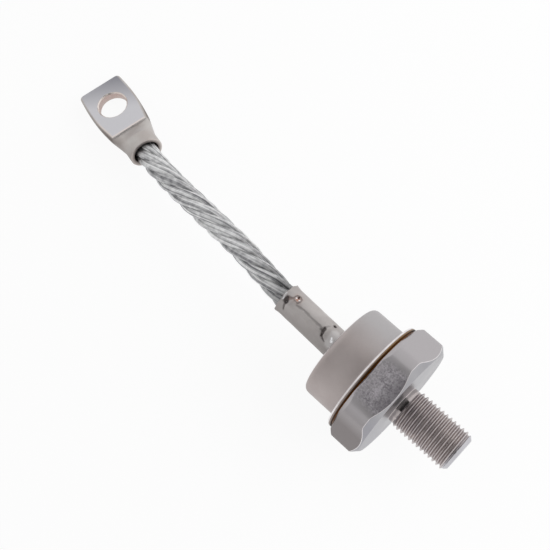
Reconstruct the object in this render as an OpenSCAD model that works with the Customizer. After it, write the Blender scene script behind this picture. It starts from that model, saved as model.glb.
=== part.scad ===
// Stud rectifier diode with a flexible pigtail lead and a flattened tube lug.
// It lies as it comes to rest: on one flat of its hexagon and on the tip of its lug.
// The origin is the centre of the seating face, on the stud's axis.
// +X runs from the seating face towards the lead, and +Z is up.

/* [Hexagon base] */
// Distance across the flats of the hexagon
hex_af = 27; // [26:0.1:28.5]
// Distance that the turned corners stand out past the flats
corner_out = 1.25; // [1:0.05:1.9]
// Height of the hexagon above the seating face
hex_h = 7.4; // [6:0.05:9]
// Diameter of the flat seating face under the hexagon
seat_d = 25.4; // [23:0.1:26]
// Slope of the chamfer around the seating face, in degrees
seat_chamfer_angle = 35; // [20:1:45]
// Chamfer on the upper ends of the corners
corner_chamfer = 0.9; // [0.3:0.1:1.2]
// Diameter of the raised seat for the die stack
pedestal_d = 17; // [16.5:0.1:19]
// Height of the raised seat above the hexagon
pedestal_h = 0.5; // [0.3:0.05:1]

/* [Stud] */
// Outside diameter of the stud's thread
stud_d = 9.525; // [9.2:0.005:12]
// Length of the stud from the seating face to its tip
stud_len = 15.6; // [12:0.1:22]
// Depth of the plain neck below the thread's crests
neck_cut = 0.46; // [0.2:0.02:0.8]
// Length of the plain neck
neck_len = 2.2; // [1:0.1:4]
// Chamfer at both ends of the thread
thread_chamfer = 0.8; // [0.3:0.1:1.5]

/* [Cap] */
// Outside diameter of the cap's wall
cap_d = 22.8; // [21.6:0.1:24]
// Height of the cap from the underside of its flange to its top
cap_h = 9.2; // [8.5:0.05:13]
// Thickness of the cap's sheet
cap_wall = 0.8; // [0.5:0.05:1]
// Outer radius of the cap's rounded top rim
cap_rim_r = 1.4; // [1.1:0.1:2]
// Thickness of the welding flange
flange_t = 0.5; // [0.3:0.05:1]
// Radius of the fillet between the flange and the wall
flange_fillet = 0.5; // [0.2:0.05:0.8]

/* [Joint under the cap] */
// Thickness of the braze between the hexagon and the weld ring
braze_t = 0.4; // [0.1:0.05:0.6]
// Width of the step from the weld ring's edge in to the braze
braze_step = 0.35; // [0.1:0.05:1]
// Thickness of the weld ring
ring_t = 0.4; // [0.3:0.05:1]
// Width of the weld ring and of the braze under it
ring_w = 3; // [2:0.1:3.8]

/* [Glass seal] */
// Diameter of the glass in the top of the cap
seal_d = 14; // [12:0.1:15]
// Depth of the collar that holds the glass
collar_len = 1.9; // [1.2:0.1:2.4]
// Depth of the glass below the cap's top
seal_recess = 0.3; // [0.1:0.05:0.6]
// Rise of the glass where it wets the tube and the collar
seal_rise = 0.2; // [0:0.05:0.3]

/* [Terminal tube] */
// Wall of the terminal tube
tube_wall = 0.45; // [0.35:0.05:0.8]
// Length of the tube above the cap's top
tube_out = 16.25; // [12:0.05:22]
// Length of the tube below the glass
tube_in = 0.6; // [0.2:0.1:1.2]
// Distance that the tube's spread end stands out
tube_lip_out = 0.2; // [0.05:0.05:0.5]
// Length of the spread end
tube_lip_len = 1.6; // [0.5:0.1:3]
// Sideways lean of the tube in the glass, in degrees
tube_lean = 1.8; // [0:0.1:2]
// Depth of the crimp across the tube
crimp_depth = 0.2; // [0.1:0.05:0.3]
// Distance from the cap's top to the crimp
crimp_at = 4; // [3:0.1:6]

/* [Die stack] */
// Thickness of each solder layer
solder_t = 0.12; // [0.05:0.01:0.2]
// Thickness of the lower backing disc
lower_disc_t = 1.2; // [0.8:0.05:1.4]
// Diameter of the silicon die
die_d = 14; // [13:0.1:14.6]
// Thickness of the silicon die
die_t = 0.4; // [0.2:0.02:0.6]
// Diameter of the upper backing disc
upper_disc_d = 12; // [10:0.1:12.8]
// Thickness of the upper backing disc
upper_disc_t = 0.8; // [0.5:0.05:1]
// Distance that the lower disc and the silicone on it reach past the die
coating_w = 1; // [0.5:0.05:1.2]
// Gap between the die's edge and the silicone around it
coating_gap = 0.02; // [0:0.01:0.1]

/* [Inner lead] */
// Diameter of the inner lead
inner_lead_d = 4.6; // [3:0.1:5]
// Diameter of the contact button's foot
button_d = 9; // [8:0.1:9.8]
// Thickness of the contact button's foot
button_foot_t = 0.8; // [0.5:0.05:1]
// Height of the contact button's cup above its foot
button_cup_h = 1.8; // [1:0.1:2]
// Wall of the contact button's cup
button_wall = 0.7; // [0.4:0.05:0.9]
// Gap around the inner lead in its cup
cup_gap = 0.05; // [0.02:0.01:0.1]
// Length of the inner lead inside the terminal tube
inner_lead_in = 3; // [1:0.1:4]

/* [Pigtail lead] */
// Diameter of the stranded pigtail
lead_d = 5.7; // [4.5:0.1:5.8]
// Gap around the pigtail in the terminal tube
lead_gap = 0.1; // [0.05:0.01:0.15]

/* [Lug] */
// Wall of the lug's barrel
barrel_wall = 1; // [0.8:0.05:1.5]
// Gap around the pigtail in the lug's barrel
barrel_gap = 0.3; // [0.1:0.05:0.5]
// Depth of the pigtail in the barrel
barrel_depth = 4; // [3:0.1:4.4]
// Length of the round part of the barrel
barrel_len = 3.2; // [2:0.1:4.5]
// Length of the taper from the barrel to the tongue
taper_len = 4.8; // [4:0.1:8]
// Width of the flattened tongue at its hole, where it is widest
tongue_w = 12.1; // [10:0.1:14]
// How far each side of the tongue bows out from the taper to the hole
tongue_bow = 0.7; // [0:0.05:1]
// How far each side of the tongue draws in again from the hole to the tip
tip_draw = 0.45; // [0:0.05:1]
// Thickness of the flattened tongue
tongue_t = 2.4; // [1.8:0.1:2.8]
// Distance that the taper ends below the flat of the tongue
tongue_step = 0.4; // [0.2:0.05:0.6]
// Length of the flattened tongue
tongue_len = 16.3; // [14:0.1:22]
// Corner radius at the tongue's end
tongue_corner_r = 0.5; // [0.3:0.1:2]
// Diameter of the hole in the tongue
lug_hole_d = 7.1; // [5:0.1:7.5]
// Distance from the tongue's end to the hole's centre
lug_hole_inset = 7.3; // [5:0.1:9]
// Roll of the lug about its own axis, in degrees
lug_roll = 11; // [0:0.5:20]

/* [Hidden] */
$fn = 96;

hull_fn = 32;
arc_steps = 6;
lead_sides = 12;
// A cut reaches this far past the face that it opens
cut = 1;

// Heights along the axis, from the seating face
ring_x = hex_h + braze_t;
cap_x = ring_x + ring_t;
cap_top = cap_x + cap_h;
seal_bottom = cap_top - collar_len;
seal_middle = cap_top - collar_len / 2;
base_solder_x = hex_h + pedestal_h;
lower_disc_x = base_solder_x + solder_t;
lower_die_solder_x = lower_disc_x + lower_disc_t;
die_x = lower_die_solder_x + solder_t;
upper_die_solder_x = die_x + die_t;
upper_disc_x = upper_die_solder_x + solder_t;
button_solder_x = upper_disc_x + upper_disc_t;
button_x = button_solder_x + solder_t;
inner_lead_x = button_x + button_foot_t;
tube_start = seal_bottom - tube_in;

corner_d = hex_af + 2 * corner_out;
neck_d = stud_d - 2 * neck_cut;
// The welding flange and the ring under it are flush with the hexagon's flats
flange_d = hex_af;
ring_bore_d = flange_d - 2 * ring_w;
tube_bore_d = lead_d + 2 * lead_gap;
tube_d = tube_bore_d + 2 * tube_wall;
tube_lip_d = tube_d + 2 * tube_lip_out;
lower_disc_d = die_d + 2 * coating_w;
die_edge_t = upper_disc_x - lower_die_solder_x;
barrel_bore_d = lead_d + 2 * barrel_gap;
barrel_d = barrel_bore_d + 2 * barrel_wall;
tongue_end_w = tongue_w - 2 * tongue_bow;

// The pigtail's route, from inside the terminal tube to the bottom of the lug's barrel
route = [
    [24, -0.23, 0], [28, -0.36, 0], [31, -0.45, 0], [34, -0.55, 0], [38, -1.05, -0.05],
    [43, -1.5, -0.2], [48, -2.05, -0.55], [53, -2.32, -1], [58, -2.5, -1.55], [63, -2.65, -2.25],
    [68, -2.8, -3.05], [73, -3.05, -3.9], [78, -3.4, -4.85], [82.4, -3.9, -5.8],
    [88.2, -4.95, -7.11]
];
route_end = route[len(route) - 1];
route_last = route_end - route[len(route) - 2];
lug_yaw = atan2(route_last.y, route_last.x);
lug_droop = atan2(-route_last.z, norm([route_last.x, route_last.y]));

function unit(v) = v / norm(v);

function arc(centre, r, from, to) = [
    for (i = [0:arc_steps])
        let (a = from + (to - from) * i / arc_steps)
        centre + r * [cos(a), sin(a)]
];

// The direction of a path at one of its points
function heading(path, i) =
    unit(path[min(i + 1, len(path) - 1)] - path[max(i - 1, 0)]);

// A ring of points square to a path
function ring(path, i, r, sides) =
    let (t = heading(path, i), side = unit(cross(t, [0, 0, 1])), up = cross(side, t))
    [for (k = [0:sides - 1]) path[i] + r * (cos(360 * k / sides) * side + sin(360 * k / sides) * up)];

// Sets a piece that is drawn upright on the stud's axis
module on_axis(x) {
    translate([x, 0, 0]) rotate([0, 90, 0]) children();
}

// A round bar swept along a path, with flat ends
module swept_bar(path, d, sides) {
    rings = len(path);
    points = [for (i = [0:rings - 1]) each ring(path, i, d / 2, sides)];
    walls = [
        for (i = [0:rings - 2], k = [0:sides - 1])
            let (a = i * sides + k, b = i * sides + (k + 1) % sides)
            [a, b, b + sides, a + sides]
    ];
    first = [for (k = [0:sides - 1]) sides - 1 - k];
    last = [for (k = [0:sides - 1]) (rings - 1) * sides + k];
    polyhedron(points, concat([first], walls, [last]));
}

module hexagon(af) {
    rotate(30) circle(d = af / cos(30), $fn = 6);
}

module disc_ring(d, bore, t) {
    difference() {
        cylinder(d = d, h = t);
        translate([0, 0, -cut]) cylinder(d = bore, h = t + 2 * cut);
    }
}

// Copper base: hexagon, threaded stud and raised seat, turned from one bar
module hex_stud_base() {
    seat_chamfer = (corner_d - seat_d) / 2 * tan(seat_chamfer_angle);
    turned = [
        [0, 0], [seat_d / 2, 0], [corner_d / 2, seat_chamfer],
        [corner_d / 2, hex_h - corner_chamfer], [corner_d / 2 - corner_chamfer, hex_h], [0, hex_h]
    ];
    stud = [
        [0, hex_h / 2], [neck_d / 2, hex_h / 2], [neck_d / 2, -neck_len],
        [stud_d / 2, -neck_len - neck_cut], [stud_d / 2, thread_chamfer - stud_len],
        [stud_d / 2 - thread_chamfer, -stud_len], [0, -stud_len]
    ];
    color("silver") on_axis(0) {
        intersection() {
            linear_extrude(hex_h) hexagon(hex_af);
            rotate_extrude() polygon(turned);
        }
        rotate_extrude() polygon(stud);
        translate([0, 0, hex_h / 2]) cylinder(d = pedestal_d, h = hex_h / 2 + pedestal_h);
    }
}

module braze_ring() {
    color("darkgoldenrod") on_axis(hex_h)
        disc_ring(flange_d - 2 * braze_step, ring_bore_d, braze_t);
}

module weld_ring() {
    color("gray") on_axis(ring_x) disc_ring(flange_d, ring_bore_d, ring_t);
}

// Drawn steel cap with a welding flange, a round rim and a collar for the glass
module cap() {
    wall_r = cap_d / 2;
    inner_r = wall_r - cap_wall;
    seal_r = seal_d / 2;
    flange_r = flange_d / 2;
    fillet = min(flange_fillet, flange_r - flange_t - wall_r);
    rim_centre = [wall_r - cap_rim_r, cap_h - cap_rim_r];
    profile = concat(
        [[inner_r, 0]],
        arc([flange_r - flange_t, 0], flange_t, 0, 90),
        arc([wall_r + fillet, flange_t + fillet], fillet, 270, 180),
        arc(rim_centre, cap_rim_r, 0, 90),
        [
            [seal_r, cap_h], [seal_r, cap_h - collar_len], [seal_r + cap_wall, cap_h - collar_len],
            [seal_r + cap_wall, cap_h - cap_wall]
        ],
        arc(rim_centre, cap_rim_r - cap_wall, 90, 0)
    );
    color("silver") on_axis(cap_x) rotate_extrude() polygon(profile);
}

// Sets a piece on the leaning axis of the terminal tube, which crosses the stud's axis in the glass
module on_tube(x) {
    translate([seal_middle, 0, 0]) rotate([0, 0, -tube_lean]) on_axis(x - seal_middle) children();
}

// Glass between the collar and the tube, higher where it wets them
module glass_seal() {
    top = collar_len - seal_recess;
    tube_r = tube_d / 2;
    seal_r = seal_d / 2;
    fillet = (seal_r - tube_r) / 4;
    // The rise runs on into the tube's place, so that the leaning tube cuts through a slope
    profile = [
        [0, 0], [seal_r, 0], [seal_r, top + seal_rise], [seal_r - fillet, top],
        [tube_r + fillet, top], [tube_r - fillet, top + 2 * seal_rise], [0, top + 2 * seal_rise]
    ];
    color("darkslategray") difference() {
        on_axis(seal_bottom) rotate_extrude() polygon(profile);
        on_tube(seal_bottom - cut) cylinder(d = tube_d, h = collar_len + 2 * cut);
    }
}

// Terminal tube: spread at its end and crimped above the cap
module terminal_tube() {
    tube_r = tube_d / 2;
    bore_r = tube_bore_d / 2;
    lip_r = tube_lip_d / 2;
    length = cap_top + tube_out - tube_start;
    lip_z = length - tube_lip_len;
    profile = [
        [bore_r, 0], [tube_r, 0], [tube_r, lip_z], [lip_r, lip_z + lip_r - tube_r],
        [lip_r, length], [bore_r, length]
    ];
    crimp_r = tube_d;
    color("silver") difference() {
        on_tube(tube_start) rotate_extrude() polygon(profile);
        // Crimp rolled across the top and bottom of the tube
        for (side = [-1, 1])
            on_tube(cap_top + crimp_at) translate([side * (tube_r + crimp_r - crimp_depth), 0, 0])
                rotate([90, 0, 0]) cylinder(r = crimp_r, h = 2 * tube_d, center = true);
    }
}

module base_solder() {
    color("lightgray") on_axis(base_solder_x) cylinder(d = lower_disc_d, h = solder_t);
}

module lower_disc() {
    color("dimgray") on_axis(lower_disc_x) cylinder(d = lower_disc_d, h = lower_disc_t);
}

module lower_die_solder() {
    color("lightgray") on_axis(lower_die_solder_x) cylinder(d = die_d, h = solder_t);
}

module silicon_die() {
    color("slategray") on_axis(die_x) cylinder(d = die_d, h = die_t);
}

// Silicone rubber around the edge of the die
module junction_coating() {
    color("white") on_axis(lower_die_solder_x)
        disc_ring(lower_disc_d, die_d + 2 * coating_gap, die_edge_t);
}

module upper_die_solder() {
    color("lightgray") on_axis(upper_die_solder_x) cylinder(d = upper_disc_d, h = solder_t);
}

module upper_disc() {
    color("dimgray") on_axis(upper_disc_x) cylinder(d = upper_disc_d, h = upper_disc_t);
}

module button_solder() {
    color("lightgray") on_axis(button_solder_x) cylinder(d = button_d, h = solder_t);
}

// Copper button with a cup that holds the inner lead
module contact_button() {
    cup_bore_d = inner_lead_d + 2 * cup_gap;
    color("chocolate") on_axis(button_x) {
        cylinder(d = button_d, h = button_foot_t);
        translate([0, 0, button_foot_t])
            disc_ring(cup_bore_d + 2 * button_wall, cup_bore_d, button_cup_h);
    }
}

module inner_lead() {
    color("chocolate") on_axis(inner_lead_x)
        cylinder(d = inner_lead_d, h = tube_start + inner_lead_in - inner_lead_x);
}

module pigtail_lead() {
    color("lightgray") swept_bar(route, lead_d, lead_sides);
}

// Tube lug: a round barrel that is pressed flat into a tongue.
// It is drawn along +X from the bottom of its bore.
module terminal_lug() {
    mouth = -barrel_depth;
    taper_x = mouth + barrel_len;
    tongue_x = taper_x + taper_len;
    tip = tongue_x + tongue_len;
    hole_x = tip - lug_hole_inset;
    corner_x = tip - tongue_corner_r;
    corner_y = tongue_w / 2 - tip_draw - tongue_corner_r;
    // The taper runs on into the tongue, so that the tongue's start stands above it as a step
    taper_end = tongue_x + tongue_step / 2;
    color("silver") translate(route_end) rotate([lug_roll, lug_droop, lug_yaw]) difference() {
        union() {
            on_axis(mouth) cylinder(d = barrel_d, h = barrel_len);
            hull() {
                on_axis(taper_x - cut) cylinder(d = barrel_d, h = cut, $fn = hull_fn);
                tongue_section(taper_end, tongue_end_w - tongue_step, tongue_t - 2 * tongue_step);
            }
            hull() {
                tongue_section(tongue_x, tongue_end_w, tongue_t);
                tongue_section(hole_x, tongue_w, tongue_t);
                for (side = [-1, 1])
                    translate([corner_x, side * corner_y, -tongue_t / 2])
                        cylinder(r = tongue_corner_r, h = tongue_t, $fn = hull_fn);
            }
        }
        on_axis(mouth - cut) cylinder(d = barrel_bore_d, h = barrel_depth + cut);
        translate([hole_x, 0, -tongue_t]) cylinder(d = lug_hole_d, h = 2 * tongue_t);
    }
}

// A thin slice of the flattened tube, with round sides
module tongue_section(x, width, thickness) {
    for (side = [-1, 1])
        translate([0, side * (width - thickness) / 2, 0]) on_axis(x)
            cylinder(d = thickness, h = cut, $fn = hull_fn);
}

hex_stud_base();
braze_ring();
weld_ring();
cap();
glass_seal();
terminal_tube();
base_solder();
lower_disc();
lower_die_solder();
silicon_die();
junction_coating();
upper_die_solder();
upper_disc();
button_solder();
contact_button();
inner_lead();
pigtail_lead();
terminal_lug();
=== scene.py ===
# %% [markdown]
# # A stud diode with a pigtail lead
# A stud rectifier is bolted through a heat sink by its threaded stud. The current leaves at the other
# end, through a stranded copper pigtail with a flattened tube lug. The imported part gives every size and
# place, so this script only adds what solids leave out: the thread, the strands, the dents and the finishes.

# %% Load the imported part
import math

import bmesh
import bpy
from mathutils import Matrix, Vector, noise


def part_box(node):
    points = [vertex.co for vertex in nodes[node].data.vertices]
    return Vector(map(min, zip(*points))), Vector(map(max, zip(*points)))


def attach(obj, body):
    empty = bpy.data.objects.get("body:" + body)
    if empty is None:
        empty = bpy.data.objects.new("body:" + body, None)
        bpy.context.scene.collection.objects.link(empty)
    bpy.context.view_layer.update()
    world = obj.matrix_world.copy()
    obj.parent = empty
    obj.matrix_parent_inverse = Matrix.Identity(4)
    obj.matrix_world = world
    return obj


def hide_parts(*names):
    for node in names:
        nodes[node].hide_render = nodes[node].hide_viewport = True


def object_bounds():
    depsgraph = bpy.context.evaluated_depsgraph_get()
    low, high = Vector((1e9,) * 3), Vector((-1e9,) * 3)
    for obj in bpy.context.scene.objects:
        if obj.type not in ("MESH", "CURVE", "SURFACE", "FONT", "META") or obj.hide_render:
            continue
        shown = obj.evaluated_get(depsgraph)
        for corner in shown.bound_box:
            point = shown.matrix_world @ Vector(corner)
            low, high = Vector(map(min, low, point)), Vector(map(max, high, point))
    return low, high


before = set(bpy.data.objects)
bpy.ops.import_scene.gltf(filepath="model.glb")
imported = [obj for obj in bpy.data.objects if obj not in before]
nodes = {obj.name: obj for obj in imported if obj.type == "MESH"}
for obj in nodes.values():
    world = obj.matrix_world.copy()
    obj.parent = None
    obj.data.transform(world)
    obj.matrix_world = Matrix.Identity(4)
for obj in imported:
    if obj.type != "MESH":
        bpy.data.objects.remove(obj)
cad_low, cad_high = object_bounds()
MM = 0.001
TURN = 2 * math.pi
print("nodes:", len(nodes), "part's size in mm:", [round(v / MM, 1) for v in cad_high - cad_low])

# %% [markdown]
# ## Camera
# The photograph was taken from close above, so its perspective is strong. A pinhole camera was fitted to
# the edges of the hexagon, the cap, the stud and the lug's hole. It is set by where it stands, the point
# that it looks at and how far it is rolled, which is easier to change than a matrix.

# %% Set up the camera
SENSOR_MM = 36
PHOTO_PX = 550
FOCAL_PX = 989.7
camera_place = Vector((-18.82, -3.67, 209.13)) * MM
camera_aim = Vector((38.98, -2.63, 0)) * MM
camera_roll = math.radians(-49.63)


def new_object(name, data):
    """An object in the scene, at the origin and unturned."""
    thing = bpy.data.objects.new(name, data)
    bpy.context.scene.collection.objects.link(thing)
    return thing


camera_data = bpy.data.cameras.new("photo_camera")
camera_data.sensor_width = SENSOR_MM
camera_data.lens = FOCAL_PX / PHOTO_PX * SENSOR_MM
camera_data.clip_start = 10 * MM
camera = new_object("photo_camera", camera_data)
look = (camera_aim - camera_place).to_track_quat("-Z", "Y").to_matrix().to_4x4()
camera.matrix_world = Matrix.Translation(camera_place) @ look @ Matrix.Rotation(camera_roll, 4, "Z")
bpy.context.scene.camera = camera
print("lens in mm:", round(camera_data.lens, 2))

# %% [markdown]
# ## The pigtail's route
# The lead is stiff and short, and the photograph shows it from end to end. It leaves the terminal tube
# straight, droops under the weight of its lug and ends at the bottom of the lug's bore. The points are
# those of the solid part, in millimetres, and a Bezier curve through them takes out the corners.

# %% Lay out the route
route = [
    (24, -0.23, 0), (28, -0.36, 0), (31, -0.45, 0), (34, -0.55, 0), (38, -1.05, -0.05),
    (43, -1.5, -0.2), (48, -2.05, -0.55), (53, -2.32, -1), (58, -2.5, -1.55), (63, -2.65, -2.25),
    (68, -2.8, -3.05), (73, -3.05, -3.9), (78, -3.4, -4.85), (82.4, -3.9, -5.8), (88.2, -4.95, -7.11),
]
route_points = [Vector(point) * MM for point in route]

# %% [markdown]
# ## Helpers for finishes
# Colours are written as they look on a screen, as sRGB hex codes. Blender's shaders work in linear light,
# so one function turns a code into a linear colour. A second one adds a node, sets it and links it. The
# rest build on those two: they start a finish, and mix its colour or its roughness where something wore it.

# %% Colours and nodes
def linear(code):
    """The linear colour of an sRGB hex code."""
    parts = [int(code[i:i + 2], 16) / 255 for i in (1, 3, 5)]
    return [c / 12.92 if c <= 0.04045 else ((c + 0.055) / 1.055) ** 2.4 for c in parts] + [1]


def fill(tree, node, inputs):
    """Fills a node's inputs with values, with sockets or with the first live output of other nodes."""
    for key, value in inputs.items():
        if isinstance(value, bpy.types.Node):
            value = next(socket for socket in value.outputs if socket.enabled)
        if isinstance(value, bpy.types.NodeSocket):
            tree.links.new(value, node.inputs[key])
        else:
            node.inputs[key].default_value = value


def add(tree, kind, inputs=None, **settings):
    """Adds a node, sets it and fills its inputs."""
    node = tree.nodes.new(kind)
    for name, value in settings.items():
        setattr(node, name, value)
    fill(tree, node, inputs or {})
    return node


print("a screen's mid grey in linear light:", round(linear("#808080")[0], 3))

# %% Start, scale and mix a finish
def new_finish(name, metallic):
    """An empty finish: its tree, its shader and the Object coordinates that its patterns read."""
    material = bpy.data.materials.new(name)
    material.use_nodes = True
    tree = material.node_tree
    shader = tree.nodes["Principled BSDF"]
    shader.inputs["Metallic"].default_value = metallic
    return material, tree, shader, add(tree, "ShaderNodeTexCoord").outputs["Object"]


def per_mm(size):
    """The scale at which a pattern on Object coordinates repeats about every so many millimetres."""
    return 1 / (size * MM)


def share_along(tree, axis, start, end, least=0, most=1):
    """A share that goes from the least to the most between two places on an axis, in millimetres."""
    place = add(tree, "ShaderNodeTexCoord").outputs["Object"]
    axes = add(tree, "ShaderNodeSeparateXYZ", {0: place})
    return add(tree, "ShaderNodeMapRange", {"Value": axes.outputs[axis], "From Min": start * MM,
                                            "From Max": end * MM, "To Min": least, "To Max": most})


def blend(material, share, colour=None, roughness=None):
    """Mixes a finish's colour, its roughness or both towards others, by a share."""
    tree = material.node_tree
    shader = tree.nodes["Principled BSDF"]
    if colour is not None:
        plain = shader.inputs["Base Color"].links[0].from_socket
        mixed = add(tree, "ShaderNodeMix", {0: share, 6: plain, 7: colour}, data_type="RGBA")
        fill(tree, shader, {"Base Color": mixed})
    if roughness is not None:
        plain = shader.inputs["Roughness"].links[0].from_socket
        fill(tree, shader, {"Roughness": add(tree, "ShaderNodeMix", {0: share, 2: plain, 3: roughness})})


def tint(material, code, axis, start, end, least=0, most=1):
    """Mixes a finish towards a colour between two places on an axis, in millimetres."""
    blend(material, share_along(material.node_tree, axis, start, end, least, most), linear(code))


print("scale of a pattern of 1 mm:", per_mm(1))

# %% [markdown]
# ## Satin nickel plate
# The case is barrel plated: nickel over copper and steel, tumbled with other parts. That leaves an even
# satin sheen, slow stains of warmer and cooler grey, and a fine grain that breaks up reflections. All its
# faces share that plate, so it is one function with a few settings, which later serves for tin as well. The
# grain is drawn at about a third of a millimetre, coarser than it is, because a finer one wouldn't show.

# %% Satin nickel
# Noise keeps to its middle, so stretching that part gives a pattern its full contrast.
MIDDLE = {"From Min": 0.35, "From Max": 0.65}
SHEEN_SPREAD = 0.08
GRAIN_STRENGTH = 0.6


def satin_plate(name, pale, stained, roughness, stain_mm, grain_mm, grain_height):
    """A satin metal plate with slow stains and a fine tumbled grain."""
    material, tree, shader, place = new_finish(name, 1)
    stain = add(tree, "ShaderNodeTexNoise", {"Vector": place, "Scale": per_mm(stain_mm), "Detail": 4})
    tone = add(tree, "ShaderNodeMapRange", {"Value": stain, **MIDDLE})
    colour = add(tree, "ShaderNodeMix", {0: tone, 6: linear(pale), 7: linear(stained)}, data_type="RGBA")
    grain = add(tree, "ShaderNodeTexNoise", {"Vector": place, "Scale": per_mm(grain_mm), "Detail": 3})
    sheen = add(tree, "ShaderNodeMapRange", {"Value": grain, "To Min": roughness - SHEEN_SPREAD,
                                             "To Max": roughness + SHEEN_SPREAD})
    bump = add(tree, "ShaderNodeBump", {"Height": grain, "Distance": grain_height * MM,
                                        "Strength": GRAIN_STRENGTH})
    fill(tree, shader, {"Base Color": colour, "Roughness": sheen, "Normal": bump})
    return material


# Drawn steel is tumbled dull: a broad soft sheen and a warm grey.
# Towards -Y, the lamp's side, it is painted lighter and cooler: painted light.
cap_nickel = satin_plate("satin nickel on drawn steel", "#bbb2b0", "#afa5a3", 0.5, 9, 0.35, 0.02)
tint(cap_nickel, "#b8b5b6", "Y", -3, -9)
# A turning tool leaves copper smoother, so the seat shows the floor as a pale, clear grey.
turned_nickel = satin_plate("bright nickel on turned copper", "#b1b0b3", "#a5a4a8", 0.34, 7, 0.3, 0.015)
# Painted shade: the turned faces are darker towards +Y, the side away from the lamp.
tint(turned_nickel, "#9f9ea4", "Y", 4, 8)
# The stud's tip gets a lighter copy of the turned nickel, the lightest face of the stud: painted light.
tip_nickel = satin_plate("bright nickel on the stud's tip", "#d1d0d3", "#c3c2c7", 0.34, 7, 0.3, 0.015)
# The neck is polished by its tool: it mirrors the dark camera as one black patch.
neck_nickel = satin_plate("polished nickel on the neck", "#bdb5b4", "#aca4a3", 0.1, 3, 0.4, 0.002)
# A rolled thread is smooth and collects grease, so it is darker and warmer than the seat.
thread_nickel = satin_plate("nickel on rolled thread", "#bab1af", "#aaa1a1", 0.3, 3, 0.4, 0.004)
# Edges that rub on other parts are worn, and a painted highlight makes them the brightest lines of the case.
worn_and_highlit_nickel = satin_plate("rubbed nickel on an edge", "#efebec", "#d8d3d4", 0.3, 2, 0.3, 0.01)
print("finishes:", len(bpy.data.materials))

# %% [markdown]
# ## Nickel on the hexagon's sides
# The sides keep the drawn bar's skin under an even satin plate. One flat is worse than the others: plating
# doesn't fill pits, so it looks mottled and darker, most of all along its lower edge. An attribute of the
# mesh says where the pits are. Two noises make them: a coarse one for the mottle, a fine one for the pits.

# %% Pitted nickel
MOTTLE_MM, PIT_MM, PIT_DEPTH = 1.6, 0.4, 0.06
hex_nickel, tree, shader, place = new_finish("pitted nickel on drawn bar", 1)
pitted = add(tree, "ShaderNodeAttribute", attribute_name="pitted").outputs["Fac"]
mottle = add(tree, "ShaderNodeTexNoise", {"Vector": place, "Scale": per_mm(MOTTLE_MM), "Detail": 6,
                                          "Roughness": 0.65})
pits = add(tree, "ShaderNodeTexNoise", {"Vector": place, "Scale": per_mm(PIT_MM), "Detail": 5,
                                        "Roughness": 0.7})
both = add(tree, "ShaderNodeMath", {0: mottle, 1: 0.5, 2: pits}, operation="MULTIPLY_ADD")
tone = add(tree, "ShaderNodeMapRange", {"Value": both, "From Min": 0.6, "From Max": 0.9})
mottled = add(tree, "ShaderNodeMix", {0: tone, 6: linear("#928d92"), 7: linear("#d2cdd2")}, data_type="RGBA")
colour = add(tree, "ShaderNodeMix", {0: pitted, 6: linear("#b9b5b7"), 7: mottled}, data_type="RGBA")
sheen = add(tree, "ShaderNodeMapRange", {"Value": pits, "To Min": 0.4, "To Max": 0.58})
bump = add(tree, "ShaderNodeBump", {"Height": pits, "Distance": PIT_DEPTH * MM, "Strength": pitted})
fill(tree, shader, {"Base Color": colour, "Roughness": sheen, "Normal": bump})
# Where the attribute goes past 1, along the lower edge, the pits are black with dirt.
worst = add(tree, "ShaderNodeMapRange", {"Value": pitted, "From Min": 1, "From Max": 1.5})
dirty_pits = add(tree, "ShaderNodeMath", {0: worst, 1: pits}, operation="MULTIPLY")
blend(hex_nickel, dirty_pits, linear("#5a565b"))
# Painted shade: the sides are darker towards +Y, the side away from the lamp.
tint(hex_nickel, "#8c8686", "Y", 7, 11)
print(hex_nickel.name, "nodes:", len(tree.nodes))

# %% [markdown]
# ## Mesh helpers
# A turned piece is an outline swept round an axis. Real corners are never quite sharp, so each corner of
# an outline carries a radius, and a short arc takes its place. Every piece ends as a plain mesh at the
# origin that rides on the part's one body.

# %% Mesh helpers
ARC_STEPS = 5
SHARP = math.radians(28)
SEAM = 0.002 * MM


def ease(t):
    """A smooth climb from 0 to 1."""
    t = max(0, min(1, t))
    return t * t * (3 - 2 * t)


def rounded(corners):
    """An outline of (x, r, radius) corners, with an arc of that radius at each one."""
    points = []
    for i, (x, r, radius) in enumerate(corners):
        here = Vector((x, r))
        before = Vector(corners[i - 1][:2]) - here
        after = Vector(corners[(i + 1) % len(corners)][:2]) - here
        if radius == 0:
            points.append(here)
            continue
        half = before.angle(after) / 2
        reach = min(radius / math.tan(half), before.length / 2, after.length / 2)
        start, end = here + before.normalized() * reach, here + after.normalized() * reach
        for step in range(ARC_STEPS + 1):
            t = step / ARC_STEPS
            points.append((1 - t) ** 2 * start + 2 * t * (1 - t) * here + t ** 2 * end)
    return points


def skin(bm, grid, closed_rows=False):
    """Faces between neighbouring columns of vertices that all have the same number of rows."""
    rows = len(grid[0])
    for left, right in zip(grid, grid[1:]):
        for j in range(rows if closed_rows else rows - 1):
            k = (j + 1) % rows
            bm.faces.new((left[j], left[k], right[k], right[j]))


def new_piece(name, bm, *materials):
    """A piece from a bmesh, with its seams closed and its faces turned outwards."""
    bmesh.ops.remove_doubles(bm, verts=bm.verts, dist=SEAM)
    bmesh.ops.recalc_face_normals(bm, faces=bm.faces)
    piece = new_object(name, bpy.data.meshes.new(name))
    for material in materials:
        piece.data.materials.append(material)
    bm.to_mesh(piece.data)
    bm.free()
    piece.data.shade_smooth()
    piece.data.set_sharp_from_angle(angle=SHARP)
    return piece


def round_axis(x, r, angle):
    """A point at a distance from the X axis, at an angle from +Z. Sizes are in millimetres."""
    return Vector((x, r * math.sin(angle), r * math.cos(angle))) * MM


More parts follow.
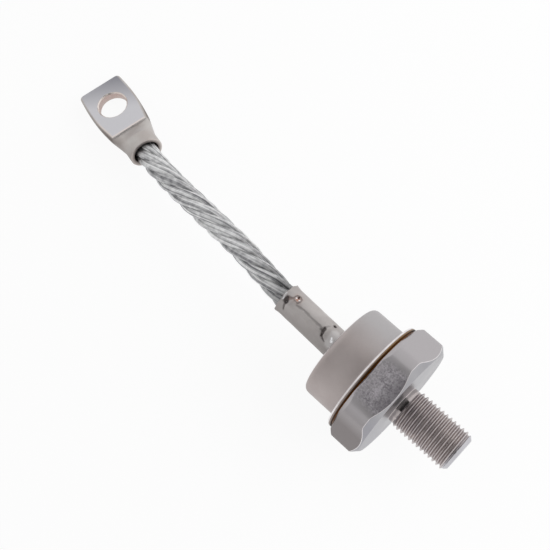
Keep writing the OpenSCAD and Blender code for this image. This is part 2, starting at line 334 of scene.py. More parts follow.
def turned(name, outline, material, columns=160):
    """A ring turned from a closed outline of (x, r) points about the X axis."""
    bm = bmesh.new()
    angles = [TURN * i / columns for i in range(columns)]
    grid = [[bm.verts.new(round_axis(x, r, angle)) for x, r in outline] for angle in angles]
    skin(bm, grid + grid[:1], closed_rows=True)
    return new_piece(name, bm, material)


def stand_for(piece, node):
    """The piece rides on the part's body in place of a node."""
    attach(piece, "root")
    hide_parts(node)
    print(piece.name, "faces:", len(piece.data.polygons))


print("points of a square with round corners:", len(rounded([(0, 0, 1), (9, 0, 1), (9, 9, 1), (0, 9, 1)])))

# %% [markdown]
# ## Hexagon base and stud
# The base is made from hexagon bar: the flats stay as drawn, while the seating face, its chamfer, the
# corners and the stud are turned on a lathe. So each angle round the axis has its own outline: the lathe's
# profile, cut short by the flat. The chamfer then leaves its scallop on each flat by itself.

# %% Sizes of the base
base_low, base_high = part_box("hex_stud_base")
flat_r = base_high.z / MM
corner_r = base_high.y / MM
SEAT_R = 13.25
SEAT_SLOPE = math.tan(math.radians(44))
SOFT_CORNER = 0.3
BASE_COLUMNS = 144
# Extra columns stand close to where a flat meets a corner, so that the soft change there is smooth.
CORNER_SHIFTS = (-0.045, -0.03, -0.015, 0, 0.015, 0.03, 0.045)


def hex_wall(angle):
    """Radius of the hexagon's side, with a soft change from the flat to the turned corner."""
    flat = flat_r / math.cos((angle + TURN / 12) % (TURN / 6) - TURN / 12)
    blended = max(0, SOFT_CORNER - abs(flat - corner_r)) / SOFT_CORNER
    return min(flat, corner_r) - blended ** 2 * SOFT_CORNER / 4


def scallop(angle):
    """How far above the seating face the chamfer meets the hexagon's side."""
    return (hex_wall(angle) - SEAT_R) * SEAT_SLOPE


corner_start = math.acos(flat_r / corner_r)
angles = [TURN * i / BASE_COLUMNS for i in range(BASE_COLUMNS)]
angles += [TURN * k / 6 + side * (corner_start + shift)
           for k in range(6) for side in (-1, 1) for shift in CORNER_SHIFTS]
angles = sorted(a % TURN for a in angles)
print("base columns:", len(angles))

# %% [markdown]
# ## The blank
# Each column of points runs from the raised seat inside the case, over the hexagon, down to the stud's tip.
# Rows of the stud climb with the thread, so that every crest and root will lie on a line of points. Each
# point also stores how pitted it is, and each face gets the finish of the tool that made it.

# %% Outline of the blank
hex_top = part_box("braze_ring")[0].x / MM
seat_top = base_high.x / MM
tip_x = base_low.x / MM
PEDESTAL_R = 8.5
EDGE, TOP_BREAK, CORNER_CHAMFER = 0.14, 0.3, 0.9
STUD_R, TIP_CHAMFER = 4.7625, 1
NECK_R, NECK_LEN, NECK_FILLET = 4.3, 1.45, 0.2
PITCH, THREAD_START = 25.4 / 24, -0.4
# Rows within one pitch stand close together at the corners of the thread's form.
THREAD_STEPS = (0, 0.03, 0.0625, 0.095, 0.14, 0.25, 0.335, 0.375, 0.42, 0.5, 0.58, 0.625, 0.665, 0.75, 0.86,
                0.905, 0.9375, 0.97)
FLAT_FADE = 0.16
EVEN_PITS, LOW_PITS, EDGE_PITS = 0.6, 0.4, 0.5
LOW_TOP, LOW_FADE, EDGE_LEN = 4.5, 3, 1.1


def base_column(angle):
    """The base's outline at one angle, from the raised seat down to the stud's neck."""
    wall = hex_wall(angle)
    top = min(wall - TOP_BREAK, corner_r - CORNER_CHAMFER)
    corners = rounded([
        (seat_top, 0, 0), (seat_top, PEDESTAL_R, EDGE), (hex_top, PEDESTAL_R, 0), (hex_top, top, EDGE),
        (hex_top - (wall - top), wall, EDGE), (scallop(angle), wall, 2 * EDGE),
        (0, SEAT_R, EDGE), (0, NECK_R, NECK_FILLET), (THREAD_START, NECK_R, 0),
    ])
    return [(p.x, p.y) for p in corners]


def stud_column(angle):
    """The stud's rows at one angle, which climb by one pitch in a turn."""
    rows = []
    for turn in range(math.ceil((THREAD_START - tip_x) / PITCH) + 2):
        for step in THREAD_STEPS:
            x = THREAD_START + PITCH * (1 - turn - step - angle / TURN)
            x = max(min(x, THREAD_START), tip_x)
            uncut = min(STUD_R, NECK_R - NECK_LEN - x, STUD_R - TIP_CHAMFER + (x - tip_x))
            rows.append((x, NECK_R if x > -NECK_LEN else uncut))
    return rows + [(tip_x, 0)]


def pitting(angle, x):
    """How pitted the side is: only on the top flat, more towards the seat, most along the scallop."""
    on_flat = ease((corner_start - min(angle, TURN - angle)) / FLAT_FADE)
    height = x - scallop(angle)
    low = LOW_PITS * ease((LOW_TOP - height) / LOW_FADE)
    return on_flat * (EVEN_PITS + low + EDGE_PITS * ease(1 - height / EDGE_LEN))


print("rows of a column:", len(base_column(0) + stud_column(0)))

# %% Build the blank
NECK_FROM, NECK_TO = -2, -0.1
LEAD_IN = 1
# How far a face's normal points to the stud: past the first it is on the scallop's edge, not on the side,
# and past the second it is on the chamfer.
EDGE_TILT, CHAMFER_TILT = -0.12, -0.65
bm = bmesh.new()
pitted_layer = bm.verts.layers.float.new("pitted")
grid = []
for angle in angles + [TURN]:
    column = base_column(angle) + stud_column(angle)
    grid.append([bm.verts.new(round_axis(x, r, angle)) for x, r in column])
    for vert in grid[-1]:
        vert[pitted_layer] = pitting(angle, vert.co.x / MM)
skin(bm, grid)
base_finishes = (turned_nickel, hex_nickel, neck_nickel, worn_and_highlit_nickel, tip_nickel)
base = new_piece("hex_base_with_stud", bm, *base_finishes)
for face in base.data.polygons:
    finish = turned_nickel
    along = face.center.x / MM
    across = math.hypot(face.center.y, face.center.z) / MM
    if across > PEDESTAL_R + 1 and along > 0 and face.normal.x > CHAMFER_TILT:
        # The scallop's edge gets the worn nickel with its painted highlight.
        finish = hex_nickel if face.normal.x > EDGE_TILT else worn_and_highlit_nickel
    if across < STUD_R and NECK_FROM < along < NECK_TO:
        finish = neck_nickel
    if along < tip_x + LEAD_IN:
        finish = tip_nickel
    face.material_index = base_finishes.index(finish)
print("blank faces:", len(base.data.polygons))

# %% [markdown]
# ## Node trees on a piece
# Geometry Nodes change or make a mesh by a rule. One helper starts a tree with named inputs. Another puts
# the tree on a piece as a modifier, sets the inputs, keeps the result as a plain mesh and takes the modifier
# off again, so that an export finds nothing but meshes.

# %% Helpers for trees
FLOAT, COUNT, FINISH = "NodeSocketFloat", "NodeSocketInt", "NodeSocketMaterial"


def new_tree(name, inputs):
    """A geometry node tree, and the sockets of its geometry and of its named inputs."""
    tree = bpy.data.node_groups.new(name, "GeometryNodeTree")
    tree.interface.new_socket("Geometry", in_out="INPUT", socket_type="NodeSocketGeometry")
    for label, kind in inputs.items():
        tree.interface.new_socket(label, in_out="INPUT", socket_type=kind)
    tree.interface.new_socket("Geometry", in_out="OUTPUT", socket_type="NodeSocketGeometry")
    return tree, add(tree, "NodeGroupInput").outputs


def plain_mesh(piece, modifier):
    """The mesh that a modifier makes of a piece. The modifier is removed."""
    mesh = bpy.data.meshes.new_from_object(piece.evaluated_get(bpy.context.evaluated_depsgraph_get()))
    piece.modifiers.remove(modifier)
    return mesh


def run_tree(piece, tree, values):
    """Runs a tree on a piece and gives the result as a plain mesh."""
    modifier = piece.modifiers.new(tree.name, "NODES")
    modifier.node_group = tree
    for socket in tree.interface.items_tree:
        if socket.in_out == "INPUT" and socket.name in values:
            modifier[socket.identifier] = values[socket.name]
    return plain_mesh(piece, modifier)


print("kinds of input:", FLOAT, COUNT, FINISH)

# %% [markdown]
# ## The thread's rule
# A thread follows one rule: how deep its groove is at a point depends on the distance along the axis, in
# pitches, plus the turn round the axis. A node tree applies that rule to the blank. The groove has the
# standard 60 degree form, with a crest an eighth and a root a quarter of the pitch wide. It fades out at the
# neck and at the tip.

# %% Depth of the groove
HALF_CREST, HALF_ROOT = 1 / 16, 1 / 8
tree, given = new_tree("cut_thread", {
    "Crest radius": FLOAT, "Pitch": FLOAT, "Depth": FLOAT, "Start": FLOAT, "Run-out": FLOAT, "Tip": FLOAT,
    "Lead-in": FLOAT, "Rounding": FLOAT, "Neck end": FLOAT, "Finish": FINISH})
axes = add(tree, "ShaderNodeSeparateXYZ", {0: add(tree, "GeometryNodeInputPosition")}).outputs
turn = add(tree, "ShaderNodeMath", {0: axes["Y"], 1: axes["Z"]}, operation="ARCTAN2")
turns = add(tree, "ShaderNodeMath", {0: turn, 1: TURN}, operation="DIVIDE")
along = add(tree, "ShaderNodeMath", {0: axes["X"], 1: given["Start"]}, operation="SUBTRACT")
pitches = add(tree, "ShaderNodeMath", {0: along, 1: given["Pitch"]}, operation="DIVIDE")
phase = add(tree, "ShaderNodeMath", {0: pitches, 1: turns}, operation="ADD")
within = add(tree, "ShaderNodeMath", {0: phase}, operation="FRACT")
from_root = add(tree, "ShaderNodeMath", {0: within, 1: 0.5}, operation="SUBTRACT")
from_root = add(tree, "ShaderNodeMath", {0: from_root}, operation="ABSOLUTE")
cut = add(tree, "ShaderNodeMapRange", {"Value": from_root, "From Min": 0.5 - HALF_CREST,
                                       "From Max": HALF_ROOT, "To Max": given["Depth"]}, clamp=False)
cut = add(tree, "ShaderNodeMath", {0: cut, 1: 0, 2: given["Rounding"]}, operation="SMOOTH_MAX")
cut = add(tree, "ShaderNodeMath", {0: cut, 1: given["Depth"], 2: given["Rounding"]}, operation="SMOOTH_MIN")
fade_end = add(tree, "ShaderNodeMath", {0: given["Start"], 1: given["Run-out"]}, operation="SUBTRACT")
thread_end = add(tree, "ShaderNodeMath", {0: given["Tip"], 1: given["Lead-in"]}, operation="ADD")
for start, end in ((given["Start"], fade_end), (given["Tip"], thread_end)):
    fade = add(tree, "ShaderNodeMapRange", {"Value": axes["X"], "From Min": start, "From Max": end})
    cut = add(tree, "ShaderNodeMath", {0: cut, 1: fade}, operation="MULTIPLY")
print(tree.name, "nodes for the depth:", len(tree.nodes))

# %% Move the points
threaded = add(tree, "ShaderNodeMath", {0: given["Crest radius"], 1: cut}, operation="SUBTRACT")
flat_place = add(tree, "ShaderNodeCombineXYZ", {"Y": axes["Y"], "Z": axes["Z"]})
blank = add(tree, "ShaderNodeVectorMath", {0: flat_place}, operation="LENGTH")
radius = add(tree, "ShaderNodeMath", {0: blank, 1: threaded}, operation="MINIMUM")
shrink = add(tree, "ShaderNodeMath", {0: radius, 1: blank}, operation="DIVIDE")
moved = add(tree, "ShaderNodeCombineXYZ", {"X": axes["X"]})
for side in ("Y", "Z"):
    scaled = add(tree, "ShaderNodeMath", {0: axes[side], 1: shrink}, operation="MULTIPLY")
    fill(tree, moved, {side: scaled})
on_stud, past_neck, on_tip = (
    add(tree, "FunctionNodeCompare", {0: axes["X"], 1: limit}, operation="LESS_THAN")
    for limit in (given["Start"], given["Neck end"], thread_end))
cut_blank = add(tree, "GeometryNodeSetPosition", {"Geometry": given["Geometry"], "Selection": on_stud,
                                                  "Position": moved})
real = add(tree, "GeometryNodeRealizeInstances", {0: cut_blank})
on_thread = add(tree, "FunctionNodeBooleanMath", {0: past_neck, 1: on_tip}, operation="NIMPLY")
finished = add(tree, "GeometryNodeSetMaterial", {"Geometry": real, "Selection": on_thread,
                                                 "Material": given["Finish"]})
add(tree, "NodeGroupOutput", {0: finished})
print(tree.name, "nodes:", len(tree.nodes))

# %% [markdown]
# ## Cutting the thread
# The tree runs on the blank with the sizes of this stud. The crests of a thread wear first, so they are
# duller than its flanks, and they are painted lighter: a painted highlight. The distance from the axis tells
# crest from root, which needs no attribute.

# %% Cut the thread
CREST_FROM, CREST_FULL, CREST_ROUGHNESS = 0.12, 0.02, 0.7
thread_tree = thread_nickel.node_tree
place = add(thread_tree, "ShaderNodeTexCoord").outputs["Object"]
across = add(thread_tree, "ShaderNodeVectorMath", {0: place, 1: (0, 1, 1)}, operation="MULTIPLY")
across = add(thread_tree, "ShaderNodeVectorMath", {0: across}, operation="LENGTH")
crest = add(thread_tree, "ShaderNodeMapRange", {"Value": across, "From Min": (STUD_R - CREST_FROM) * MM,
                                                "From Max": (STUD_R - CREST_FULL) * MM})
# Painted highlight on the crests, which wear also makes rougher.
blend(thread_nickel, crest, linear("#e2dcdc"), CREST_ROUGHNESS)
thread_sizes = {"Crest radius": STUD_R, "Pitch": PITCH, "Depth": 0.53 * PITCH, "Start": THREAD_START,
                "Run-out": 1.3 * PITCH, "Tip": tip_x, "Lead-in": LEAD_IN, "Rounding": 0.12, "Neck end": -1.65}
values = {name: size * MM for name, size in thread_sizes.items()}
base.data = run_tree(base, tree, {**values, "Finish": thread_nickel})
base.data.set_sharp_from_angle(angle=SHARP)
stand_for(base, "hex_stud_base")

# %% [markdown]
# ## Cap
# The cap is drawn from steel sheet, so its rim is round and its flange thin. It is turned here as a closed
# outline with its real wall, because drawn and turned shapes look alike when they are round. The top of the
# rim and the edge of the flange stick out most, so they are worn, and they carry a painted highlight.

# %% Cap
cap_low, cap_high = (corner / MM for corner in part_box("cap"))
CAP_R, CAP_WALL, RIM_R = 11.4, 0.8, 1.4
FLANGE_T, FLANGE_DRAFT = 0.5, 0.2
SEAL_R, COLLAR_LEN = 7, 1.9
WORN_HIGHLIT_EDGE = 0.35
# A face is on the rim when it points up, and on the flange's edge when it points half up.
RIM_TILT, FLANGE_TILTS = 0.8, (0.2, 0.9)
flange_top, collar_end, under_top = cap_low.x + FLANGE_T, cap_high.x - COLLAR_LEN, cap_high.x - CAP_WALL
cap = turned("drawn_cap", rounded([
    (cap_low.x, CAP_R - CAP_WALL, 0), (cap_low.x, cap_high.y, 0.1),
    (flange_top, cap_high.y - FLANGE_DRAFT, 0.25), (flange_top, CAP_R, 0.5),
    (cap_high.x, CAP_R, RIM_R), (cap_high.x, SEAL_R, 0.12), (collar_end, SEAL_R, 0),
    (collar_end, SEAL_R + CAP_WALL, 0), (under_top, SEAL_R + CAP_WALL, 0),
    (under_top, CAP_R - CAP_WALL, RIM_R - CAP_WALL),
]), cap_nickel)
cap.data.materials.append(worn_and_highlit_nickel)
for face in cap.data.polygons:
    across = math.hypot(face.center.y, face.center.z) / MM
    on_rim = face.normal.x > RIM_TILT and across > CAP_R - RIM_R
    half_up = FLANGE_TILTS[0] < face.normal.x < FLANGE_TILTS[1]
    on_flange = half_up and across > cap_high.y - WORN_HIGHLIT_EDGE
    # The rim's top and the flange's edge get the worn nickel with its painted highlight.
    if on_rim or on_flange:
        face.material_index = 1
stand_for(cap, "cap")

# %% [markdown]
# ## Weld ring and braze
# The cap is welded to a ring that is brazed to the copper. Heat has tinted the ring's plate brown, darkest
# next to the braze. The braze has flowed and cooled in air, so it is a dull gold brown with darker oxide. It
# keeps its solid's shape and only gets a finish.

# %% Weld ring and braze
ring_low, ring_high = (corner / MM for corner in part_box("weld_ring"))
RING_BORE_R, RING_EDGE = 10.5, 0.1
# Straw brown that deepens across the part and towards the braze, still with a metal's sheen.
ring_nickel = satin_plate("nickel tinted by welding heat", "#b3abaa", "#a89e9c", 0.36, 6, 0.35, 0.02)
tint(ring_nickel, "#a37a41", "Y", 3, -7, 0.2, 0.8)
tint(ring_nickel, "#3a2412", "X", ring_low.x, ring_high.x, 1, 0)
weld_ring = turned("weld_ring_turned", rounded([
    (ring_low.x, RING_BORE_R, 0), (ring_low.x, ring_high.y, RING_EDGE), (ring_high.x, ring_high.y, RING_EDGE),
    (ring_high.x, RING_BORE_R, 0),
]), ring_nickel)
stand_for(weld_ring, "weld_ring")

# Oxide makes slow dark patches in the gold, so that the thin line looks uneven.
OXIDE_MM = 4
braze, tree, shader, place = new_finish("oxidised braze", 1)
oxide = add(tree, "ShaderNodeTexNoise", {"Vector": place, "Scale": per_mm(OXIDE_MM), "Detail": 4})
colour = add(tree, "ShaderNodeMix", {0: oxide, 6: linear("#7a4c20"), 7: linear("#2a170a")}, data_type="RGBA")
fill(tree, shader, {"Base Color": colour, "Roughness": 0.4})
nodes["braze_ring"].material_slots[0].material = braze
print("finish of the braze:", braze.name)

# %% [markdown]
# ## Marks on the terminal tube
# The tube is crimped on the pigtail by hand tools, and it shows: a punched dimple where copper shines
# through, a long crease, a dark notch across it and a rough lip. The marks are written as places on the
# unrolled tube: millimetres from the cap, degrees from the top and the mark's half-width. Each point of the
# tube is pushed in by the marks that reach it, and the same marks say how dark, how bare and how glinting
# the metal is. The dark is partly a black deposit and partly painted shade in the dents, and the glints are
# painted.

# %% Marks on the tube
TUBE_R = 3.4
RIM_AT, RIM_WIDTH = 1.05, 0.2
# A noise of waves along the tube and round it makes the outlines of the marks ragged.
RAGGED, RAGGED_ALONG, RAGGED_ROUND = 0.3, 1.7, 0.09
LOOK_GAIN = 1.6
LOOKS = ("soot_and_shade", "bare", "bright")
# Dark marks: partly a black deposit, partly painted shade in dents. Bright marks: painted glints.
marks = [
    {"path": [(13.26, -28.4, 0.78)], "depth": 0.28, "rim": 0.08, "ring": 0.6, "bare": 1},
    {"path": [(13.65, -28, 0.24)], "depth": 0, "bright": 1},
    {"path": [(12.86, -28.5, 0.27)], "depth": 0, "bright": 1},
    {"path": [(13.4, -36, 0.34)], "depth": 0, "soot_and_shade": 0.9},
    {"path": [(13.26, -28.4, 1.6)], "depth": 0, "bare": 0.25},
    {"path": [(15.2, -6, 0.55), (15.0, 4, 0.95), (14.8, 12, 0.6)], "depth": 0.3, "rim": 0.03, "soot_and_shade": 0.85},
    {"path": [(14.75, 9, 0.35)], "depth": 0.1, "soot_and_shade": 1},
    {"path": [(14.7, -8, 0.6), (14.1, -18, 0.35)], "depth": 0.06, "soot_and_shade": 0.45, "bare": 0.4},
    {"path": [(3.5, -53.4, 0.5)], "depth": 0.2, "rim": 0.04, "soot_and_shade": 1},
    {"path": [(2.0, -24, 1.5), (1.7, 12, 1.5)], "depth": 0, "bright": 0.22},
    {"path": [(2.1, -8, 0.3), (1.6, 2, 0.42)], "depth": 0, "bright": 1},
    {"path": [(12.5, -6.5, 0.22), (11.5, -9.9, 0.38), (10.6, -12.1, 0.26), (9.2, -11, 0.44),
              (8.2, -10.7, 0.26), (6.6, -10.6, 0.42), (4.9, -10, 0.34)], "depth": 0.08, "soot_and_shade": 0.34},
    {"path": [(4.6, -17, 0.5), (4.45, -4, 0.5), (4.05, 11, 0.34)], "depth": 0.24, "soot_and_shade": 0.8},
    {"path": [(5.1, -6, 0.4), (4.45, -4, 0.5)], "depth": 0.16, "soot_and_shade": 0.6},
    {"path": [(4.05, 12, 0.34), (2.84, 19.7, 0.16)], "depth": 0.1, "soot_and_shade": 0.7},
    {"path": [(4.7, -18, 0.3), (4.2, -36, 0.22)], "depth": 0.05, "soot_and_shade": 0.2},
    {"path": [(14.27, 39.8, 0.22), (14.74, 19.8, 0.32), (14.8, 8, 0.3)], "depth": 0.14, "soot_and_shade": 0.6},
    {"path": [(15.7, 9, 0.16), (15.95, -16, 0.16)], "depth": -0.04, "bright": 0.9},
]


def unrolled(along, angle):
    """A place on the unrolled tube in millimetres."""
    return Vector((along, math.radians(angle) * TUBE_R))


for mark in marks:
    mark["places"] = [(unrolled(along, angle), size) for along, angle, size in mark["path"]]


def reach_of(mark, point):
    """Distance from a mark, in units of the mark's own size there."""
    places = mark["places"]
    best = math.inf
    for (start, size), (end, end_size) in zip(places, places[1:] or places):
        t = (point - start).dot(end - start) / max((end - start).length_squared, 0.001)
        t = max(0, min(1, t))
        best = min(best, (point - start.lerp(end, t)).length / (size + (end_size - size) * t))
    return best


def tube_marks(along, angle):
    """How far a point of the tube is pushed in, and how dark, bare and glinting it is."""
    point = unrolled(along, angle)
    ragged = 1 + RAGGED * noise.noise(Vector((along * RAGGED_ALONG, angle * RAGGED_ROUND, 0)))
    push, looks = 0, dict.fromkeys(LOOKS, 0)
    for mark in marks:
        reach = reach_of(mark, point) * ragged
        inside = max(0, 1 - reach ** 2) ** 1.5
        rim = math.exp(-((reach - RIM_AT) / RIM_WIDTH) ** 2)
        push += mark["depth"] * inside - mark.get("rim", 0) * rim
        for look in LOOKS:
            looks[look] = max(looks[look], mark.get(look, 0) * min(1, LOOK_GAIN * inside))
        looks["soot_and_shade"] = max(looks["soot_and_shade"], mark.get("ring", 0) * rim)
    return push, looks


print("marks:", len(marks), "deepest in mm:", max(mark["depth"] for mark in marks))

# %% [markdown]
# ## The terminal tube
# The tube leans a little, as the photograph shows. Its wall is a fine grid, so that the marks can be pushed
# into it, and its mouth is spread and uneven. Slow noise makes the skin look hammered. A sculpted mesh would
# do as well, but a list of marks can still be changed.

# %% Build the tube
TUBE_BORE_R, LIP_OUT, LIP_LEN = 2.95, 0.2, 1.6
TUBE_PIVOT, TUBE_LEAN = 16.45, math.radians(1.8)
MARKS_FROM = 17.55
TUBE_START, TUBE_END = -2.65, 16.1
TUBE_COLUMNS, TUBE_ROWS = 176, 155
# Painted shade inside the bore.
TUBE_BORE_SHADE = 0.6
# Heights of the mouth's unevenness and of the hammered skin, each with the fineness of its noise.
MOUTH_WAVES = ((0.25, 2.1), (0.1, 6))
HAMMER, HAMMER_ROUND, HAMMER_ALONG = 0.05, 3, 0.35
tube_axis = Vector((math.cos(TUBE_LEAN), -math.sin(TUBE_LEAN), 0))
tube_side = Vector((math.sin(TUBE_LEAN), math.cos(TUBE_LEAN), 0))
tube_foot = Vector((TUBE_PIVOT, 0, 0)) + tube_axis * (MARKS_FROM - TUBE_PIVOT)
bm = bmesh.new()
layers = {look: bm.verts.layers.float.new(look) for look in LOOKS}
grid = []
for i in range(TUBE_COLUMNS):
    angle = 360 * i / TUBE_COLUMNS - 180
    out = Vector((0, 0, 1)) * math.cos(math.radians(angle)) + tube_side * math.sin(math.radians(angle))
    ragged = sum(height * noise.noise(out * fineness) for height, fineness in MOUTH_WAVES)
    rows = []
    for j in range(TUBE_ROWS):
        t = j / (TUBE_ROWS - 1)
        along = TUBE_START + (TUBE_END + ragged - TUBE_START) * t
        push, looks = tube_marks(along, angle)
        flare = LIP_OUT * max(0, (along - TUBE_END + LIP_LEN) / LIP_LEN) ** 1.5
        hammered = HAMMER * noise.noise(out * HAMMER_ROUND + tube_axis * along * HAMMER_ALONG)
        vert = bm.verts.new((tube_foot + tube_axis * along + out * (TUBE_R + flare + hammered - push)) * MM)
        for look, layer in layers.items():
            vert[layer] = looks[look]
        rows.append(vert)
    for along in (TUBE_END + ragged, TUBE_START):
        vert = bm.verts.new((tube_foot + tube_axis * along + out * TUBE_BORE_R) * MM)
        vert[layers["soot_and_shade"]] = TUBE_BORE_SHADE
        rows.append(vert)
    grid.append(rows)
skin(bm, grid + grid[:1], closed_rows=True)
print("tube points:", len(bm.verts))

# %% [markdown]
# ## The tube's finish
# Crimping leaves the tube's plate dull. The stored marks mix in bare copper, dark marks and painted glints,
# in that order, because the black deposit lies on the copper and wear takes it off again. The dark marks are
# partly that deposit and partly painted shade.

# %% Finish the tube
# A dull grey with hardly a highlight, so that the few painted glints catch the eye.
tube_nickel = satin_plate("dull nickel on crimped tube", "#cbc6c4", "#bab4b2", 0.6, 5, 0.3, 0.02)
# Painted shade: the tube is darker towards +Y, the side away from the lamp.
tint(tube_nickel, "#a6a19f", "Y", 0.6, 2.6)
tree = tube_nickel.node_tree
soot_and_shade, bare, bright = (add(tree, "ShaderNodeAttribute", attribute_name=look).outputs["Fac"] for look in LOOKS)
# Bare copper first, then the dark marks with their painted shade, then the painted glints.
for share, code in ((bare, "#ab8678"), (soot_and_shade, "#3a3130"), (bright, "#fbfbfd")):
    blend(tube_nickel, share, linear(code))
rubbed_and_highlit = add(tree, "ShaderNodeMath", {0: bare, 1: bright}, operation="MAXIMUM")
blend(tube_nickel, rubbed_and_highlit, roughness=0.2)
tube = new_piece("crimped_tube", bm, tube_nickel)
stand_for(tube, "terminal_tube")

# %% [markdown]
# ## Tinned strand
# The wires are drawn copper with a thin coat of tin. Each wire has its own grey, a little worn along its
# length, and it is darker in the valleys between strands, where light hardly reaches and dirt stays. Two
# attributes of the rope's mesh give the wire's tone and its height in the rope.

# %% Tinned strand
# Many fine lines of light and dark grey, which is what the eye takes for a strand.
WEAR_MM = 1.3
TUBE_END_POINT = 3
DARK_LEN = 8
tinned_strand, tree, shader, place = new_finish("tinned copper strand", 1)
tone, crown = (add(tree, "ShaderNodeAttribute", attribute_name=name).outputs["Fac"]
               for name in ("tone", "crown"))
wear = add(tree, "ShaderNodeTexNoise", {"Vector": place, "Scale": per_mm(WEAR_MM), "Detail": 3})
wear = add(tree, "ShaderNodeMapRange", {"Value": wear, **MIDDLE, "To Min": -0.2, "To Max": 0.2})
light = add(tree, "ShaderNodeMath", {0: tone, 1: wear}, operation="ADD")
tin = add(tree, "ShaderNodeMix", {0: light, 6: linear("#8e8e91"), 7: linear("#fafafa")}, data_type="RGBA")
valley = add(tree, "ShaderNodeMapRange", {"Value": crown, "From Min": 0.4, "From Max": 0.75,
                                          "To Min": 0.6, "To Max": 1})
# The first few millimetres next to the tube are darker.
dark_from = route[TUBE_END_POINT][0]
dark_near_tube = share_along(tree, "X", dark_from, dark_from + DARK_LEN, 0.6, 1)
shade = add(tree, "ShaderNodeMath", {0: valley, 1: dark_near_tube}, operation="MULTIPLY")
shaded = add(tree, "ShaderNodeVectorMath", {0: tin, "Scale": shade}, operation="SCALE")
fill(tree, shader, {"Base Color": shaded, "Roughness": 0.36})
print(tinned_strand.name, "nodes:", len(tree.nodes))

# %% [markdown]
# ## The rope's rule
# Six strands are laid round a core, to the left, and each strand is a bundle of thin wires laid the other
# way. A node tree repeats the route once for every wire. Each copy is then moved sideways: first to its
# strand's place round the route, then to its own place round the strand. Both places turn with the length
# along the route. A noise of its own lets every strand sway a little, because no rope is quite even.

# %% Angles and places in the rope
tree, given = new_tree("lay_rope", {
    "Strands": COUNT, "Wires": COUNT, "Strand circle": FLOAT, "Wire circle": FLOAT, "Wire radius": FLOAT,
    "Rope lay": FLOAT, "Strand lay": FLOAT, "Steps": COUNT, "Finish": FINISH})
level = add(tree, "GeometryNodeResampleCurve", {"Curve": given["Geometry"], "Count": given["Steps"]})
level = add(tree, "GeometryNodeSetCurveNormal", {0: level}, mode="Z_UP")
length = add(tree, "GeometryNodeSplineParameter").outputs["Length"]
ahead = add(tree, "GeometryNodeInputTangent")
upward = add(tree, "GeometryNodeInputNormal")
sideways = add(tree, "ShaderNodeVectorMath", {0: ahead, 1: upward}, operation="CROSS_PRODUCT")


def turning(own, count, lay):
    """The angle of a strand or wire: its own share of a turn, plus a turn for every lay of length."""
    share = add(tree, "ShaderNodeMath", {0: own, 1: count}, operation="DIVIDE")
    laid = add(tree, "ShaderNodeMath", {0: length, 1: lay}, operation="DIVIDE")
    both = add(tree, "ShaderNodeMath", {0: share, 1: laid}, operation="ADD")
    return add(tree, "ShaderNodeMath", {0: both, 1: TURN}, operation="MULTIPLY")


def ring_place(angle, first, second, size):
    """A vector of some size that turns from the first direction to the second."""
    cosine = add(tree, "ShaderNodeMath", {0: angle}, operation="COSINE")
    sine = add(tree, "ShaderNodeMath", {0: angle}, operation="SINE")
    a = add(tree, "ShaderNodeVectorMath", {0: first, "Scale": cosine}, operation="SCALE")
    b = add(tree, "ShaderNodeVectorMath", {0: second, "Scale": sine}, operation="SCALE")
    both = add(tree, "ShaderNodeVectorMath", {0: a, 1: b}, operation="ADD")
    return add(tree, "ShaderNodeVectorMath", {0: both, "Scale": size}, operation="SCALE")


def strand_ring(strand):
    """The place of a strand round the route."""
    angle = turning(strand, given["Strands"], given["Rope lay"])
    return ring_place(angle, upward, sideways, given["Strand circle"])


print("inputs of the rope:", [socket.name for socket in given if socket.name])

# %% [markdown]
# ## From places to a rope
# The tree stores each wire's tone and its height in the rope for the finish. It then sweeps a small circle
# along every copy of the route. Smooth cores fill the strands and the heart of the rope, so that no light
# shines through between the wires.

# %% Places of the wires
SWAY_MM, LOOSEST = 6, 0.93
all_wires = add(tree, "ShaderNodeMath", {0: given["Strands"], 1: given["Wires"]}, operation="MULTIPLY")
copies = add(tree, "GeometryNodeDuplicateElements", {"Geometry": level, "Amount": all_wires}, domain="SPLINE")
index = copies.outputs["Duplicate Index"]
strand = add(tree, "ShaderNodeMath", {0: index, 1: given["Wires"]}, operation="DIVIDE")
strand = add(tree, "ShaderNodeMath", {0: strand}, operation="FLOOR")
wire = add(tree, "ShaderNodeMath", {0: index, 1: given["Wires"]}, operation="MODULO")
strand_place = strand_ring(strand)
outward = add(tree, "ShaderNodeVectorMath", {0: strand_place}, operation="NORMALIZE")
round_strand = add(tree, "ShaderNodeVectorMath", {0: ahead, 1: outward}, operation="CROSS_PRODUCT")
wire_angle = turning(wire, given["Wires"], given["Strand lay"])
wire_place = ring_place(wire_angle, outward, round_strand, given["Wire circle"])
offset = add(tree, "ShaderNodeVectorMath", {0: strand_place, 1: wire_place}, operation="ADD")
position = add(tree, "GeometryNodeInputPosition")
sway = add(tree, "ShaderNodeTexNoise", {"Vector": position, "W": strand, "Scale": per_mm(SWAY_MM),
                                        "Detail": 2}, noise_dimensions="4D")
loose = add(tree, "ShaderNodeMapRange", {"Value": sway, "From Min": 0.3, "From Max": 0.7,
                                         "To Min": LOOSEST, "To Max": 1})
offset = add(tree, "ShaderNodeVectorMath", {0: offset, "Scale": loose}, operation="SCALE")
print(tree.name, "nodes for the places:", len(tree.nodes))

